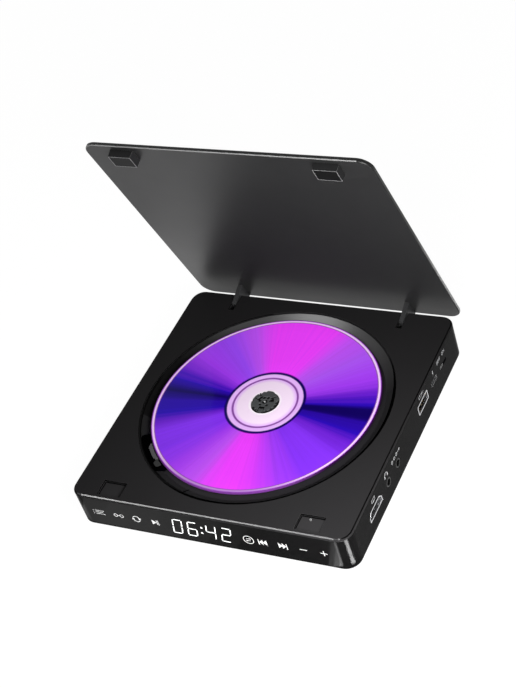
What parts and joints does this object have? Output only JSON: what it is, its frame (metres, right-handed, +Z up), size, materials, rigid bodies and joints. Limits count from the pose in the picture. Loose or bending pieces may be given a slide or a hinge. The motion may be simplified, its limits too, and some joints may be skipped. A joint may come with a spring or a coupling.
{
  "type": "portable disc player",
  "caption": "Portable top-loading disc player with a thin lid on two hinge arms, a round disc well, a front display with touch keys and a row of side ports.",
  "frame": {"origin": "centre of the bottom cover's flat underside; the rubber feet reach 1.2 mm below it", "axes": "+X to the right along the front, +Y to the rear where the lid is hinged, +Z up"},
  "size_m": [0.1526, 0.1593, 0.157],
  "materials": {
    "case_plastic": "black, smooth gloss",
    "deck_plastic": "black, fine satin texture",
    "well_plastic": "black, satin",
    "cover_plastic": "black, fine texture",
    "lid_plastic": "smoked dark, polished",
    "arm_plastic": "dark grey, satin",
    "block_plastic": "black, satin",
    "foot_rubber": "black, matte",
    "damper_rubber": "soft black",
    "pad_rubber": "grey conductive foam",
    "ring_rubber": "black",
    "screw_steel": "zinc plated",
    "chassis_steel": "pressed sheet steel",
    "rod_steel": "ground and polished",
    "motor_steel": "plated",
    "port_steel": "nickel plated",
    "port_plastic": "black",
    "board": "green solder mask",
    "chip": "black moulded",
    "capacitor": "bare can",
    "display": "dark window",
    "coil": "copper windings and laminations",
    "hub_plastic": "dark grey",
    "sled_metal": "die cast",
    "lens_glass": "coated lens",
    "disc_plastic": "iridescent violet recording side",
    "magnet": "nickel plated"
  },
  "bodies": {
    "case": {"case_frame": "case_plastic", "port_panel": "case_plastic", "top_deck": "deck_plastic", "disc_well": "well_plastic", "bottom_cover": "cover_plastic", "rubber_feet": "foot_rubber", "cover_screws": "screw_steel", "main_board": "board", "board_screws": "screw_steel", "board_chips": "chip", "capacitors": "capacitor", "touch_board": "board", "touch_pads": "pad_rubber", "display_module": "display", "infrared_receiver": "chip", "hd_port_shell": "port_steel", "hd_port_core": "port_plastic", "usb_port_shell": "port_steel", "usb_port_core": "port_plastic", "headphone_jack": "port_plastic", "av_jack": "port_plastic", "power_port": "port_steel", "power_switch_body": "port_plastic", "drive_chassis": "chassis_steel", "rubber_dampers": "damper_rubber", "damper_screws": "screw_steel", "spindle_motor_base": "motor_steel", "spindle_stator": "coil", "guide_rods": "rod_steel", "sled_motor": "motor_steel", "hinge_pins": "rod_steel", "hinge_brackets": "chassis_steel", "hinge_screws": "screw_steel", "friction_washers": "screw_steel", "catch_plates": "chassis_steel", "lid_switch_body": "port_plastic"},
    "lid": {"lid_panel": "lid_plastic", "left_hinge_arm": "arm_plastic", "right_hinge_arm": "arm_plastic", "left_lid_block": "block_plastic", "right_lid_block": "block_plastic", "lid_magnets": "magnet"},
    "spindle": {"spindle_rotor": "motor_steel", "turntable": "hub_plastic", "turntable_ring": "ring_rubber", "spindle_hub": "hub_plastic"},
    "disc": {"disc": "disc_plastic"},
    "catch_1": {"hub_catch_1": "hub_plastic"},
    "catch_2": {"hub_catch_2": "hub_plastic"},
    "catch_3": {"hub_catch_3": "hub_plastic"},
    "sled": {"pickup_sled": "sled_metal"},
    "lens": {"lens_holder": "port_plastic", "objective_lens": "lens_glass"},
    "lead_screw": {"lead_screw": "rod_steel"},
    "switch_knob": {"power_switch_knob": "port_plastic"},
    "sense_pin": {"lid_sense_pin": "hub_plastic"}
  },
  "joints": [
    {"name": "lid_hinge", "type": "hinge", "parent": "case", "child": "lid", "pos_m": [0, 0.0718, 0.0135], "axis": [-1, 0, 0], "range_deg": [-70.3, 15]},
    {"name": "spindle_spin", "type": "hinge", "parent": "case", "child": "spindle", "pos_m": [0, 0.0008, 0], "axis": [0, 0, 1], "continuous": true},
    {"name": "disc_lift", "type": "slide", "parent": "spindle", "child": "disc", "axis": [0, 0, 1], "range_m": [0, 0.03]},
    {"name": "hub_catch_1_slide", "type": "slide", "parent": "spindle", "child": "catch_1", "axis": [0.866, 0.5, 0], "range_m": [-0.0008, 0], "stiffness_N_per_m": 300, "springref_m": 0.0005},
    {"name": "hub_catch_2_slide", "type": "slide", "parent": "spindle", "child": "catch_2", "axis": [-0.866, 0.5, 0], "range_m": [-0.0008, 0]},
    {"name": "hub_catch_3_slide", "type": "slide", "parent": "spindle", "child": "catch_3", "axis": [0, -1, 0], "range_m": [-0.0008, 0]},
    {"name": "sled_slide", "type": "slide", "parent": "case", "child": "sled", "axis": [-0.7408, -0.6717, 0], "range_m": [0, 0.032]},
    {"name": "lead_screw_turn", "type": "hinge", "parent": "case", "child": "lead_screw", "pos_m": [-0.03868, -0.0012, 0.0113], "axis": [-0.7408, -0.6717, 0], "range_deg": [-5, 3850]},
    {"name": "lens_focus", "type": "slide", "parent": "sled", "child": "lens", "axis": [0, 0, 1], "range_m": [-0.0004, 0.0004], "stiffness_N_per_m": 400},
    {"name": "power_switch_slide", "type": "slide", "parent": "case", "child": "switch_knob", "axis": [0, 1, 0], "range_m": [0, 0.0042]},
    {"name": "sense_pin_press", "type": "slide", "parent": "case", "child": "sense_pin", "axis": [0, 0, 1], "range_m": [-0.001, 0.0003]}
  ],
  "couplings": [
    {"joint": "hub_catch_2_slide", "follows": "hub_catch_1_slide", "ratio": 1},
    {"joint": "hub_catch_3_slide", "follows": "hub_catch_1_slide", "ratio": 1},
    {"joint": "lead_screw_turn", "follows": "sled_slide", "rad_per_m": 2094.4},
    {"joint": "sense_pin_press", "follows": "lid_hinge", "m_per_rad": 0.0007335}
  ]
}
